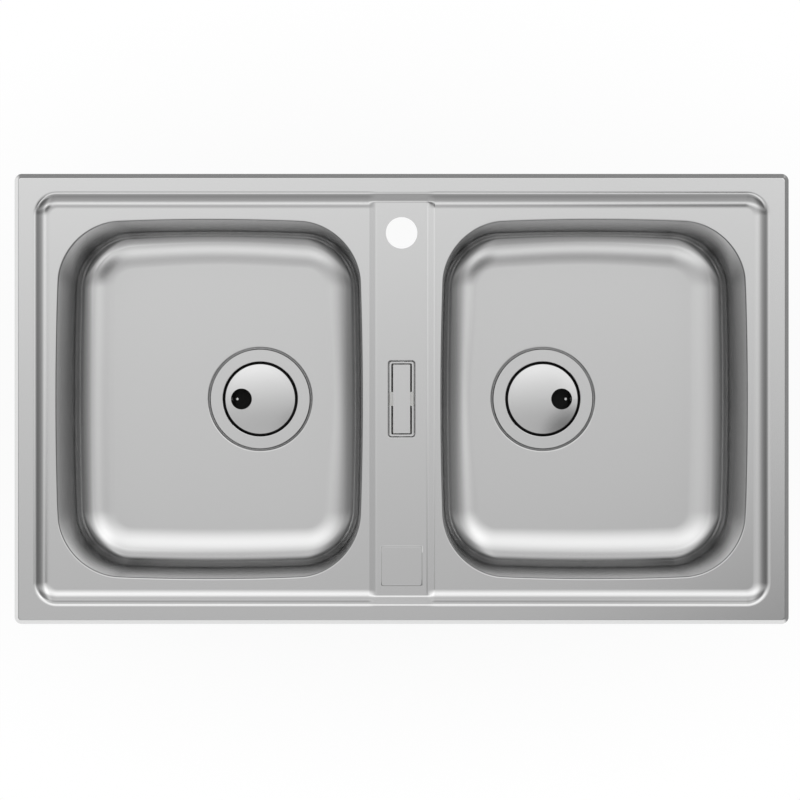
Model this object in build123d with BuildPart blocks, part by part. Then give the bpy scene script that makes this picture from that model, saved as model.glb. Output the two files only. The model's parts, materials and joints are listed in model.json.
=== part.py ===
from build123d import *
import math
import os

# Double bowl kitchen sink for laying into a worktop cut-out, with its wastes,
# overflow and fixing clamps. Millimetres. X runs along the sink, +Y points to the
# back, where the tap hole is, and +Z points up. The origin is the middle of the sink
# on the worktop's top face.

# --- Pressed top sheet -------------------------------------------------------------
sink_length = 860.0
sink_width = 500.0
sheet = 0.8                     # thickness of all pressed stainless sheet
rim_top = 6.0                   # flat rim above the worktop
rim_edge_height = 0.6           # lower edge of the rim above the worktop
rim_corner_radius = 8.0         # at the lower edge, in plan
rim_bevel = 5.0                 # plan width of the sloping outer edge
clear = 1.0                     # how far a cutting shape runs past the sheet
near = 0.001                    # heights this close count as the same
step_from_edge = 20.5           # where the rim starts to fall towards the bowls
step_width = 17.0               # plan width of that fall
step_depth = 6.0
step_crest_radius = 4.5         # rounded crest at the top of the fall
step_corner_radius = 26.5       # plan radius at the crest

# --- Raised panel between the bowls -------------------------------------------------
panel_height = 2.0              # above the deck round the bowls
panel_half_width = 30.0         # flat part
panel_ramp = 5.0                # plan width of each sloping side
panel_end_slope = 21.0          # the rim falls to the panel in a straight slope
panel_end_valley_radius = 2.5

tap_hole_radius = 17.5
tap_hole_from_back = 65.6

pad_length = 41.0               # flat top of the pressed knock-out pad, along X
pad_width = 43.0
pad_height = 1.2
pad_from_front = 64.5           # middle of the pad
pad_corner_radius = 2.0
press_slope = 45.0              # side slope of the small pressed features

# --- Bowls --------------------------------------------------------------------------
mouth_from_side = 46.0          # sink's edge to the mouth, at the middle of each side
mouth_from_back = 50.5
mouth_from_front = 48.5
mouth_from_middle = 44.0        # middle of the sink to the mouth
bowl_side_bow = 5.0             # how far the left and right sides bow out
bowl_end_bow = 5.5              # how far the front and back sides bow out
bowl_corner_radius = 64.0
bowl_mouth_radius = 5.0
bowl_collar = 7.0               # depth of the turned-down mouth, to the weld
bowl_depth = 147.5              # deck to the lowest point of the floor
bowl_draft = 3.5                # wall slope in degrees
bowl_floor_radius = 38.0        # wall into floor
bowl_dish_radius = 4000.0       # floor dished towards the drain
drain_x = 166.0                 # drain axis from the middle of the sink

# --- Waste fittings -----------------------------------------------------------------
seat_radius = 58.6              # flat bottom of the pressed drain seat
seat_depth = 2.6
drain_hole_radius = 45.25
flange_radius = 58.0
flange_sheet = 1.0
flange_gasket_thickness = 0.8
cup_mouth_radius = 43.8
cup_lip_radius = 1.0
cup_taper_depth = 9.0
cup_taper = 0.6
cup_shoulder = 6.0              # drop and inset of the 45 degree shoulder
cup_depth = 26.0
cup_hub_radius = 10.0
cup_window_radius = 22.0
cup_spoke_width = 6.0
cup_spokes = 4
basket_rim_depth = 6.0          # basket rim below the flange
basket_rim_radius = 42.6
basket_rim_width = 5.5
basket_wall = 0.6
basket_foot_radius = 31.0
basket_stem_radius = 8.0
basket_stem_top = 4.8           # stem top below the flange
basket_slots = 20
basket_slot_width = 3.0
basket_slot_length = 8.5
basket_hole_radius = 1.6
basket_holes = 10
basket_hole_circle = 28.6
seal_thickness = 2.8
seal_overlap = 4.5              # seal beyond the windows it closes
seal_chamfer = 0.9
rest_gap = 0.3                  # what a lifting piece keeps from its seat
cover_radius = 40.75
cover_dome_radius = 420.0
cover_sheet = 1.0
cover_edge_depth = 0.2          # cover edge below the flange top
cover_hole_radius = 12.3
cover_hole_offset = 22.0
cover_skirt_wall = 1.0
cover_skirt_inset = 2.85        # the legs stand on the inner edge of the basket's rim
cover_legs = 6
cover_notch = 30.0              # opening between two legs of the cover

# --- Sizes the wastes, the overflow and the clamps share ---------------------------
screw_fit = 0.06                # running clearance round every screw
screw_slot = 1.2                # width of the driver slots
boss_length = 16.0              # bosses on ribs that the middle screws go into
boss_rib = 2.5
spigot_radius = 10.5            # for a 21 mm overflow hose
spigot_bore = 8.2
barb_height = 1.0
barb_length = 5.0

# --- Waste bodies -------------------------------------------------------------------
lower_gasket_thickness = 3.0
waste_wall = 2.6
waste_flange_radius = 57.0
waste_flange_thickness = 3.5
waste_bore_radius = 46.0
waste_upper_depth = 8.0
waste_chamber_radius = 41.0
waste_chamber_depth = 30.5
waste_cone_drop = 14.0
waste_outlet_radius = 23.7      # male outlet for a 1 1/2 inch trap nut
waste_outlet_bore = 19.6
waste_outlet_length = 30.0
waste_boss_radius = 6.0
waste_screw_radius = 3.0
waste_screw_head_radius = 5.4
waste_screw_head_height = 3.4
inlet_length = 30.0             # overflow inlet beyond the right chamber's wall

# --- Overflow -----------------------------------------------------------------------
recess_length = 27.0            # flat bottom of the pressed recess, along X
recess_width = 82.4             # along Y
recess_corner_radius = 2.2
overflow_length = 23.0          # slot through the sheet, along X
overflow_width = 79.0
overflow_corner_radius = 1.5
overflow_cover_length = 18.9
overflow_cover_width = 76.3
overflow_cover_sheet = 1.0
overflow_leg_width = 5.5
overflow_leg_depth = 9.0
bridge_width = 15.5
bridge_sheet = 0.8
bridge_block_depth = 3.4
bridge_clearance = 0.6          # bridge block to the slot
overflow_gasket_thickness = 2.0
overflow_gasket_margin = 3.5    # beyond the slot
overflow_flange_margin = 5.5
overflow_flange_thickness = 3.0
overflow_box_depth = 12.0       # straight part above the funnel
overflow_funnel_depth = 34.0
funnel_roundness = 0.98         # corner share of the funnel's round lower end
overflow_wall = 2.2
overflow_spigot_length = 26.0
overflow_boss_radius = 5.0
overflow_screw_radius = 2.5
overflow_screw_head_radius = 4.8
overflow_screw_length = 20.0
countersink_angle = 90.0

# --- Seal, sound pads and clamps ----------------------------------------------------
seal_from_edge = 6.0
seal_width = 6.0
seal_corner_radius = 4.0
sound_pad_thickness = 2.5
sound_pad_width = 230.0
sound_pad_from_drain = 80.0     # inner end, outwards from the drain axis
sound_pad_from_mouth = 56.0     # outer end, inwards from the bowl mouth's side
clamp_from_edge = 26.0          # screw axis
clamp_from_side = 140.0         # outer clamps on the long sides, from the sink's ends
bracket_sheet = 1.5
bracket_width = 26.0
bracket_from_edge = 12.5        # outer end of the welded flange
bracket_leg_from_edge = 18.5
bracket_reach = 9.0             # lower flange beyond the screw axis
bracket_bottom = -25.5
bush_radius = 4.6
bush_height = 3.0
screw_past_bush = 1.0           # screw end above the bush at rest
clamp_screw_radius = 2.5
clamp_screw_head_radius = 5.0
clamp_screw_head_height = 3.4
clamp_travel = 20.0
claw_sheet = 1.6
claw_width = 14.0
claw_reach = 21.0               # screw axis to the tip of the teeth
claw_heel = 12.5                # screw axis to the back of the claw
claw_tooth_height = 7.0
claw_heel_height = 4.5
claw_teeth = 3

# --- Worked out from the sizes above ------------------------------------------------
recess_depth = bridge_sheet + overflow_cover_sheet
deck_top = rim_top - step_depth
tap_hole_y = sink_width / 2 - tap_hole_from_back
pad_y = pad_from_front - sink_width / 2
bowl_length = sink_length / 2 - mouth_from_side - mouth_from_middle
bowl_width = sink_width - mouth_from_back - mouth_from_front
bowl_center_x = mouth_from_middle + bowl_length / 2
bowl_center_y = (mouth_from_front - mouth_from_back) / 2
panel_top = deck_top + panel_height
weld_z = deck_top - bowl_collar
floor_z = deck_top - bowl_depth
half_length = sink_length / 2
half_width = sink_width / 2
rim_rise = rim_top - rim_edge_height
rim_slope = math.degrees(math.atan2(rim_rise, rim_bevel))
seat_z = floor_z - seat_depth
flange_top = seat_z + flange_gasket_thickness + flange_sheet
sheet_under_seat = seat_z - sheet
SIDES = {"left": -1, "right": 1}


def slope_inset(thickness, slope):
    """How far a sloping side moves in plan when the sheet's face is offset."""
    return thickness * math.tan(math.radians(slope) / 2)


def fall(width, depth):
    """Tilt and valley radius of a fall made of a crest arc and a valley arc in line."""
    tilt = 2 * math.atan2(depth, width)
    return tilt, width / math.sin(tilt) - step_crest_radius


def fall_edges(start, base_z, width, depth, offset):
    """Crest and valley arcs of the fall, from start inwards, on the sheet's offset face.

    The sketch's x runs inwards from the sink's edge and its y is the height.
    """
    tilt, valley_radius = fall(width, depth)
    crest = (start, base_z + depth - step_crest_radius)
    valley = (start + width, base_z + valley_radius)
    crest_r = step_crest_radius - offset
    valley_r = valley_radius + offset

    def on_crest(angle):
        return (crest[0] + crest_r * math.sin(angle), crest[1] + crest_r * math.cos(angle))

    def on_valley(angle):
        return (valley[0] - valley_r * math.sin(angle), valley[1] - valley_r * math.cos(angle))

    ThreePointArc(on_crest(0), on_crest(tilt / 2), on_crest(tilt))
    ThreePointArc(on_valley(tilt), on_valley(tilt / 2), on_valley(0))
    return on_crest(0), on_valley(0)


def panel_end(offset):
    """The rim's straight fall to the panel at the front, on the sheet's offset face.

    The sketch's x runs along the sink's Y and its y is the height.
    """
    half_turn = math.tan(math.radians(panel_end_slope) / 2)
    start = step_from_edge - half_width
    crest = start + step_crest_radius * half_turn - slope_inset(offset, panel_end_slope)
    valley = crest + (rim_top - panel_top) / math.tan(math.radians(panel_end_slope))
    with BuildLine() as line:
        Polyline(
            (start - step_crest_radius, rim_top - offset),
            (crest, rim_top - offset),
            (valley, panel_top - offset),
            (0, panel_top - offset),
        )
        fillet(line.vertices().sort_by(Axis.X)[1], radius=step_crest_radius - offset)
        fillet(line.vertices().sort_by(Axis.X)[3], radius=panel_end_valley_radius + offset)
    return line.line


def mouth_outline(grow):
    """Bowl mouth seen from above: four gently bowed sides and round corners."""
    half_x = bowl_length / 2
    half_y = bowl_width / 2
    corner_x = half_x - bowl_side_bow
    corner_y = half_y - bowl_end_bow
    with BuildSketch(mode=Mode.PRIVATE) as outline:
        with BuildLine():
            ThreePointArc((corner_x, -corner_y), (half_x, 0), (corner_x, corner_y))
            ThreePointArc((corner_x, corner_y), (0, half_y), (-corner_x, corner_y))
            ThreePointArc((-corner_x, corner_y), (-half_x, 0), (-corner_x, -corner_y))
            ThreePointArc((-corner_x, -corner_y), (0, -half_y), (corner_x, -corner_y))
        make_face()
        fillet(outline.vertices(), radius=bowl_corner_radius)
        if grow:
            offset(amount=grow, kind=Kind.ARC)
    return outline.sketch


def panel_block(offset_in, base_z):
    """The raised panel with its ends rising into the rim, for one face of the sheet."""
    ramp_slope = math.degrees(math.atan2(panel_height, panel_ramp))
    foot = panel_half_width - slope_inset(offset_in, ramp_slope)
    ramp_run = panel_ramp / panel_height
    top_z = rim_top + sheet
    with BuildPart() as block:
        with BuildSketch(Plane.YZ):
            with BuildLine():
                end = add(panel_end(offset_in))
                outer, inner = end.vertices().sort_by(Axis.X)[0], end.vertices().sort_by(Axis.X)[-1]
                Polyline(inner, (0, base_z), (outer.X, base_z), outer)
            make_face()
            mirror(about=Plane.YZ)
        extrude(amount=panel_half_width + 2 * panel_ramp, both=True)
        with BuildSketch(Plane.XZ):
            low = foot + (panel_top - offset_in - base_z) * ramp_run
            high = foot - (top_z - panel_top + offset_in) * ramp_run
            Polygon((-low, base_z), (low, base_z), (high, top_z), (-high, top_z), align=None)
        extrude(amount=half_width, both=True, mode=Mode.INTERSECT)
    return block.part


def sheet_form(offset_in, base_z):
    """Everything under one face of the pressed top: offset_in is 0 for its upper face."""
    rim_inset = rim_bevel + slope_inset(offset_in, rim_slope)
    fall_x = half_length - step_from_edge - step_width
    fall_y = half_width - step_from_edge - step_width
    fall_corner = step_corner_radius - step_width
    with BuildPart() as form:
        with BuildSketch(Plane.XY.offset(rim_top - offset_in)):
            RectangleRounded(
                sink_length - 2 * rim_inset, sink_width - 2 * rim_inset, rim_corner_radius - rim_bevel
            )
        extrude(amount=-(rim_top - offset_in - base_z), taper=rim_slope - 90)
        with BuildLine() as fall_path:
            Polyline(
                (fall_x, 0), (fall_x, fall_y), (-fall_x, fall_y), (-fall_x, -fall_y),
                (fall_x, -fall_y), (fall_x, 0),
            )
            fillet(fall_path.vertices().filter_by(lambda v: abs(v.Y) > near), radius=fall_corner)
        with BuildSketch(Plane((fall_x, 0, 0), x_dir=(-1, 0, 0), z_dir=(0, 1, 0))) as fall_section:
            with BuildLine():
                crest, valley = fall_edges(
                    -step_width, deck_top, step_width, step_depth, offset_in
                )
                Polyline(valley, (0, rim_top + clear), (crest[0], rim_top + clear), crest)
            make_face()
        sweep(sections=fall_section.sketch, path=fall_path.wire(), mode=Mode.SUBTRACT)
        with BuildSketch(Plane.XY.offset(deck_top - offset_in)):
            RectangleRounded(2 * fall_x, 2 * fall_y, fall_corner)
        extrude(amount=step_depth + clear, mode=Mode.SUBTRACT)
        add(panel_block(offset_in, base_z))
        recess_grow = recess_depth / math.tan(math.radians(press_slope))
        recess_grow += slope_inset(offset_in, press_slope)
        with BuildSketch(Plane.XY.offset(panel_top - offset_in)):
            RectangleRounded(
                recess_length + 2 * recess_grow,
                recess_width + 2 * recess_grow,
                recess_corner_radius + recess_grow,
            )
        extrude(amount=-recess_depth, taper=press_slope, mode=Mode.SUBTRACT)
        pad_inset = slope_inset(offset_in, press_slope)
        with BuildSketch(Plane.XY.offset(panel_top + pad_height - offset_in)):
            with Locations((0, pad_y)):
                RectangleRounded(
                    pad_length - 2 * pad_inset, pad_width - 2 * pad_inset, pad_corner_radius
                )
        extrude(amount=-pad_height, taper=-press_slope)
    return form.part


def mouth_cut(offset_out, base_z):
    """The drafted hole of both bowl mouths, from the deck down, grown by offset_out."""
    with BuildPart() as holes:
        with BuildSketch(Plane.XY.offset(deck_top)):
            with Locations(*[(s * bowl_center_x, bowl_center_y) for s in SIDES.values()]):
                add(mouth_outline(offset_out))
        extrude(amount=-(deck_top - base_z), taper=bowl_draft)
    return holes.part


def mouth_edges(edges, height):
    """The edges at this height that run round a bowl mouth."""
    reach_x = bowl_length / 2 + sheet
    reach_y = bowl_width / 2 + sheet
    return [
        e for e in edges
        if abs(e.center().Z - height) < near
        and abs(abs(e.center().X) - bowl_center_x) <= reach_x
        and abs(e.center().Y - bowl_center_y) <= reach_y
    ]


def pan_form(offset_out):
    """One face of the left bowl as a solid: drafted walls, dished floor and drain seat."""
    drain_from_center = bowl_center_x - drain_x
    with BuildPart() as pan:
        with BuildSketch(Plane.XY.offset(deck_top)):
            add(mouth_outline(offset_out))
        extrude(amount=-(bowl_depth + bowl_floor_radius), taper=bowl_draft)
        with Locations((drain_from_center, -bowl_center_y, floor_z + bowl_dish_radius)):
            Sphere(bowl_dish_radius + offset_out, rotation=(90, 0, 0), mode=Mode.INTERSECT)
        fillet(pan.faces().sort_by(Axis.Z)[0].edges(), radius=bowl_floor_radius + offset_out)
        seat_bottom = seat_z - offset_out
        seat_r = seat_radius + slope_inset(offset_out, press_slope)
        rise = seat_depth + offset_out + sheet
        with Locations((drain_from_center, -bowl_center_y, seat_bottom)):
            Cone(seat_r, seat_r + rise, rise, align=(Align.CENTER, Align.CENTER, Align.MIN))
    return pan.part


def save(piece, name):
    """Label a finished piece and write it to its own file."""
    piece.part.label = name
    export_step(piece.part, f"parts/{name}.step")


os.makedirs("parts", exist_ok=True)

# --- Pressed top ----------------------------------------------------------------------
with BuildPart() as under_sheet:
    add(sheet_form(sheet, weld_z - sheet))
    add(mouth_cut(sheet, weld_z - 2 * sheet), mode=Mode.SUBTRACT)
    fillet(mouth_edges(under_sheet.edges(), deck_top - sheet), radius=bowl_mouth_radius - sheet)

with BuildPart() as deck:
    add(sheet_form(0, weld_z))
    add(mouth_cut(0, weld_z - sheet), mode=Mode.SUBTRACT)
    fillet(mouth_edges(deck.edges(), deck_top), radius=bowl_mouth_radius)
    add(under_sheet.part, mode=Mode.SUBTRACT)
    # The sloping edge ends above the worktop.
    cut_depth = rim_edge_height - weld_z + sheet
    cut_margin = cut_depth * rim_bevel / rim_rise
    with BuildSketch(Plane.XY.offset(rim_edge_height)):
        Rectangle(sink_length + 2 * cut_margin, sink_width + 2 * cut_margin)
        Rectangle(
            sink_length - 2 * step_from_edge, sink_width - 2 * step_from_edge, mode=Mode.SUBTRACT
        )
    extrude(amount=-cut_depth, mode=Mode.SUBTRACT)
    with BuildSketch(Plane.XY.offset(rim_top)):
        with Locations((0, tap_hole_y)):
            Circle(tap_hole_radius)
        RectangleRounded(overflow_length, overflow_width, overflow_corner_radius)
    extrude(amount=weld_z - rim_top, mode=Mode.SUBTRACT)
save(deck, "deck")

# --- Bowls, welded under the mouths ---------------------------------------------------
with BuildPart(Plane((-bowl_center_x, bowl_center_y, 0))) as left_bowl:
    add(pan_form(sheet))
    add(pan_form(0), mode=Mode.SUBTRACT)
    split(bisect_by=Plane.XY.offset(weld_z), keep=Keep.BOTTOM)
    with Locations((bowl_center_x - drain_x, -bowl_center_y, seat_z)):
        Cylinder(drain_hole_radius, 2 * seat_depth, mode=Mode.SUBTRACT)
save(left_bowl, "left_bowl")

with BuildPart() as right_bowl:
    mirror(left_bowl.part, about=Plane.YZ)
save(right_bowl, "right_bowl")

# --- Sound pads glued under the floors ------------------------------------------------
for side, sign in SIDES.items():
    with BuildPart() as sound_pad:
        pad_inner = drain_x + sound_pad_from_drain
        pad_outer = half_length - mouth_from_side - sound_pad_from_mouth
        with BuildSketch(Plane.XY.offset(floor_z - seat_depth - sound_pad_thickness)):
            with Locations((sign * (pad_inner + pad_outer) / 2, 0)):
                Rectangle(pad_outer - pad_inner, sound_pad_width)
        extrude(amount=bowl_floor_radius)
        with Locations((sign * drain_x, 0, floor_z + bowl_dish_radius)):
            Sphere(
                bowl_dish_radius + sheet + sound_pad_thickness, rotation=(90, 0, 0), mode=Mode.INTERSECT
            )
            Sphere(bowl_dish_radius + sheet, rotation=(90, 0, 0), mode=Mode.SUBTRACT)
    save(sound_pad, f"{side}_sound_pad")

# --- Foam seal under the rim ----------------------------------------------------------
with BuildPart() as rim_seal:
    with BuildSketch():
        RectangleRounded(
            sink_length - 2 * seal_from_edge, sink_width - 2 * seal_from_edge, seal_corner_radius
        )
        inner_edge = seal_from_edge + seal_width
        RectangleRounded(
            sink_length - 2 * inner_edge,
            sink_width - 2 * inner_edge,
            seal_corner_radius / 2,
            mode=Mode.SUBTRACT,
        )
    extrude(amount=rim_top - sheet)
save(rim_seal, "rim_seal")

# --- Wastes ---------------------------------------------------------------------------
cup_shoulder_radius = cup_mouth_radius - cup_taper
cup_radius = cup_shoulder_radius - cup_shoulder
cup_floor = flange_top - cup_depth
bend = slope_inset(sheet, 45)
basket_floor = cup_floor + rest_gap + seal_thickness
basket_rim_z = flange_top - basket_rim_depth
waste_top = sheet_under_seat - lower_gasket_thickness
cone_top = waste_top - waste_chamber_depth
outlet_top = cone_top - waste_cone_drop
outlet_end = outlet_top - waste_outlet_length
boss_top = cone_top - waste_wall
waste_shoulder = waste_bore_radius - waste_chamber_radius
inlet_z = (waste_top - waste_upper_depth - waste_shoulder + cone_top) / 2
edge_z = flange_top - cover_edge_depth
dome_center = edge_z - math.sqrt(cover_dome_radius**2 - cover_radius**2)
under_radius = cover_dome_radius - cover_sheet
skirt_out = cover_radius - cover_skirt_inset
skirt_in = skirt_out - cover_skirt_wall


def dome(radius, x):
    """A point of the cover's dome section this far from the drain axis."""
    return (x, dome_center + math.sqrt(radius**2 - x**2))


for side, sign in SIDES.items():
    drain = Vector(sign * drain_x, 0, 0)
    drain_axis = Axis(drain, (0, 0, 1))
    drain_section = Plane(origin=drain, x_dir=(1, 0, 0), z_dir=(0, -1, 0))

    with BuildPart() as strainer_flange:
        with BuildSketch(drain_section) as flange_section:
            with BuildLine():
                Polyline(
                    (cup_mouth_radius, flange_top),
                    (flange_radius, flange_top),
                    (flange_radius, flange_top - flange_sheet),
                    (cup_mouth_radius + sheet, flange_top - flange_sheet),
                    (cup_shoulder_radius + sheet, flange_top - cup_taper_depth - bend),
                    (cup_radius + sheet, flange_top - cup_taper_depth - cup_shoulder - bend),
                    (cup_radius + sheet, cup_floor - flange_sheet),
                    (0, cup_floor - flange_sheet),
                    (0, cup_floor),
                    (cup_radius, cup_floor),
                    (cup_radius, flange_top - cup_taper_depth - cup_shoulder),
                    (cup_shoulder_radius, flange_top - cup_taper_depth),
                    close=True,
                )
            make_face()
            lip = flange_section.vertices().sort_by_distance((cup_mouth_radius, flange_top))[0]
            fillet(lip, radius=cup_lip_radius)
        revolve(axis=drain_axis)
        with BuildSketch(Plane(origin=(drain.X, 0, cup_floor))):
            Circle(cup_window_radius)
            Circle(cup_hub_radius, mode=Mode.SUBTRACT)
            with PolarLocations(0, cup_spokes // 2, angular_range=180):
                Rectangle(2 * cup_window_radius, cup_spoke_width, mode=Mode.SUBTRACT)
            Circle(waste_screw_radius + screw_fit)
        extrude(amount=-flange_sheet, mode=Mode.SUBTRACT)
    save(strainer_flange, f"{side}_strainer_flange")

    with BuildPart() as flange_gasket:
        with BuildSketch(Plane(origin=(drain.X, 0, seat_z))):
            Circle(flange_radius - flange_sheet)
            Circle(drain_hole_radius + flange_sheet, mode=Mode.SUBTRACT)
        extrude(amount=flange_gasket_thickness)
    save(flange_gasket, f"{side}_flange_gasket")

    with BuildPart() as lower_gasket:
        with BuildSketch(Plane(origin=(drain.X, 0, sheet_under_seat))):
            Circle(waste_flange_radius)
            Circle(waste_bore_radius, mode=Mode.SUBTRACT)
        extrude(amount=-lower_gasket_thickness)
    save(lower_gasket, f"{side}_lower_gasket")

    with BuildPart() as chamber_space:
        with BuildSketch(drain_section):
            with BuildLine():
                Polyline(
                    (0, waste_top),
                    (waste_bore_radius, waste_top),
                    (waste_bore_radius, waste_top - waste_upper_depth),
                    (waste_chamber_radius, waste_top - waste_upper_depth - waste_shoulder),
                    (waste_chamber_radius, cone_top),
                    (waste_outlet_bore, outlet_top),
                    (waste_outlet_bore, outlet_end),
                    (0, outlet_end),
                    close=True,
                )
            make_face()
        revolve(axis=drain_axis)

    with BuildPart() as screw_holder:
        with Locations((drain.X, 0, boss_top)):
            with PolarLocations(0, cup_spokes // 2, angular_range=180):
                Box(
                    2 * waste_chamber_radius, boss_rib, boss_length,
                    align=(Align.CENTER, Align.CENTER, Align.MAX),
                )
        add(chamber_space.part, mode=Mode.INTERSECT)
        with Locations((drain.X, 0, boss_top)):
            Cylinder(
                waste_boss_radius, boss_length,
                align=(Align.CENTER, Align.CENTER, Align.MAX),
            )

    with BuildPart() as waste_body:
        with BuildSketch(drain_section):
            with BuildLine():
                Polyline(
                    (0, waste_top),
                    (waste_flange_radius, waste_top),
                    (waste_flange_radius, waste_top - waste_flange_thickness),
                    (waste_bore_radius + waste_wall, waste_top - waste_flange_thickness),
                    (waste_bore_radius + waste_wall, waste_top - waste_upper_depth - waste_wall / 2),
                    (
                        waste_chamber_radius + waste_wall,
                        waste_top - waste_upper_depth - waste_shoulder - waste_wall / 2,
                    ),
                    (waste_chamber_radius + waste_wall, cone_top),
                    (waste_outlet_radius, outlet_top),
                    (waste_outlet_radius, outlet_end),
                    (0, outlet_end),
                    close=True,
                )
            make_face()
        revolve(axis=drain_axis)
        has_inlet = side == "right"
        inlet_end = waste_chamber_radius + waste_wall + inlet_length
        inlet_section = Plane(origin=drain + (0, 0, inlet_z), x_dir=(-sign, 0, 0), z_dir=(0, sign, 0))
        inlet_axis = Axis(drain + (0, 0, inlet_z), (1, 0, 0))
        if has_inlet:
            with BuildSketch(inlet_section):
                with BuildLine():
                    Polyline(
                        (0, 0),
                        (0, spigot_radius),
                        (inlet_end - 2 * barb_length, spigot_radius),
                        (inlet_end - 2 * barb_length, spigot_radius + barb_height),
                        (inlet_end - barb_length, spigot_radius),
                        (inlet_end - barb_length, spigot_radius + barb_height),
                        (inlet_end, spigot_radius),
                        (inlet_end, 0),
                        close=True,
                    )
                make_face()
            revolve(axis=inlet_axis)
        add(chamber_space.part, mode=Mode.SUBTRACT)
        if has_inlet:
            with BuildSketch(inlet_section):
                with Locations((inlet_end / 2, spigot_bore / 2)):
                    Rectangle(inlet_end, spigot_bore)
            revolve(axis=inlet_axis, mode=Mode.SUBTRACT)
        add(screw_holder.part)
        with Locations((drain.X, 0, boss_top)):
            Cylinder(
                waste_screw_radius + screw_fit, boss_length,
                align=(Align.CENTER, Align.CENTER, Align.MAX), mode=Mode.SUBTRACT,
            )
    save(waste_body, f"{side}_waste_body")

    with BuildPart() as waste_screw:
        with Locations((drain.X, 0, cup_floor)):
            Cylinder(
                waste_screw_head_radius, waste_screw_head_height,
                align=(Align.CENTER, Align.CENTER, Align.MIN),
            )
        with Locations((drain.X, 0, cup_floor)):
            Cylinder(
                waste_screw_radius, cup_floor - boss_top + boss_length - flange_sheet,
                align=(Align.CENTER, Align.CENTER, Align.MAX),
            )
        with Locations((drain.X, 0, cup_floor + waste_screw_head_height)):
            Box(
                2 * waste_screw_head_radius, screw_slot, waste_screw_head_height,
                mode=Mode.SUBTRACT,
            )
    save(waste_screw, f"{side}_waste_screw")

    with BuildPart() as strainer_basket:
        rim_inner = basket_rim_radius - basket_rim_width
        with BuildSketch(drain_section):
            with BuildLine():
                Polyline(
                    (rim_inner, basket_rim_z),
                    (basket_rim_radius, basket_rim_z),
                    (basket_rim_radius, basket_rim_z - basket_wall),
                    (rim_inner + basket_wall, basket_rim_z - basket_wall),
                    (basket_foot_radius + basket_wall, basket_floor),
                    (basket_stem_radius - basket_wall, basket_floor),
                    (basket_stem_radius - basket_wall, flange_top - basket_stem_top - basket_wall),
                    (0, flange_top - basket_stem_top - basket_wall),
                    (0, flange_top - basket_stem_top),
                    (basket_stem_radius, flange_top - basket_stem_top),
                    (basket_stem_radius, basket_floor + basket_wall),
                    (basket_foot_radius, basket_floor + basket_wall),
                    close=True,
                )
            make_face()
        revolve(axis=drain_axis)
        with Locations((drain.X, 0, (basket_rim_z + basket_floor) / 2)):
            with PolarLocations((rim_inner + basket_foot_radius) / 2, basket_slots):
                Box(
                    2 * basket_rim_width, basket_slot_width, basket_slot_length, mode=Mode.SUBTRACT
                )
        with Locations((drain.X, 0, basket_floor)):
            with PolarLocations(basket_hole_circle, basket_holes):
                Cylinder(basket_hole_radius, 4 * basket_wall, mode=Mode.SUBTRACT)
    save(strainer_basket, f"{side}_strainer_basket")

    with BuildPart() as basket_seal:
        with BuildSketch(Plane(origin=(drain.X, 0, basket_floor))):
            Circle(cup_window_radius + seal_overlap)
            Circle(basket_stem_radius, mode=Mode.SUBTRACT)
        extrude(amount=-seal_thickness)
        seal_edge = basket_seal.edges().group_by(Axis.Z)[0].sort_by(SortBy.RADIUS)[-1]
        chamfer(seal_edge, length=seal_chamfer)
    save(basket_seal, f"{side}_basket_seal")

    with BuildPart() as waste_cover:
        with BuildSketch(drain_section):
            with BuildLine():
                ThreePointArc(
                    dome(cover_dome_radius, 0),
                    dome(cover_dome_radius, cover_radius / 2),
                    dome(cover_dome_radius, cover_radius),
                )
                Polyline(
                    dome(cover_dome_radius, cover_radius),
                    (cover_radius, edge_z - cover_sheet),
                    (skirt_out, edge_z - cover_sheet),
                    (skirt_out, basket_rim_z),
                    (skirt_in, basket_rim_z),
                    dome(under_radius, skirt_in),
                )
                ThreePointArc(
                    dome(under_radius, skirt_in),
                    dome(under_radius, skirt_in / 2),
                    dome(under_radius, 0),
                )
                Line(dome(under_radius, 0), dome(cover_dome_radius, 0))
            make_face()
        revolve(axis=drain_axis)
        with Locations((drain.X + sign * cover_hole_offset, 0, edge_z)):
            Cylinder(cover_hole_radius, 2 * basket_rim_depth, mode=Mode.SUBTRACT)
        with Locations((drain.X, 0, basket_rim_z)):
            with PolarLocations(skirt_out, cover_legs):
                Box(
                    2 * cover_skirt_inset + 2 * cover_skirt_wall, cover_notch,
                    basket_rim_depth - cover_edge_depth - 2 * cover_sheet,
                    align=(Align.CENTER, Align.CENTER, Align.MIN), mode=Mode.SUBTRACT,
                )
    save(waste_cover, f"{side}_waste_cover")

# --- Overflow -------------------------------------------------------------------------
recess_floor = panel_top - recess_depth
under_recess = recess_floor - sheet
bridge_top = recess_floor + bridge_sheet
overflow_flange_top = under_recess - overflow_gasket_thickness
funnel_top = overflow_flange_top - overflow_box_depth
funnel_end = funnel_top - overflow_funnel_depth
spigot_end = funnel_end - overflow_spigot_length
overflow_boss_top = recess_floor - bridge_block_depth - sheet


def slot_outline(margin):
    """The overflow slot grown by a margin all round."""
    with BuildSketch(mode=Mode.PRIVATE) as outline:
        RectangleRounded(
            overflow_length + 2 * margin,
            overflow_width + 2 * margin,
            overflow_corner_radius + margin / 2,
        )
    return outline.sketch


def round_outline(radius):
    """The funnel's round lower end, with the same number of sides as its upper end."""
    with BuildSketch(mode=Mode.PRIVATE) as outline:
        RectangleRounded(2 * radius, 2 * radius, funnel_roundness * radius)
    return outline.sketch


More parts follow.
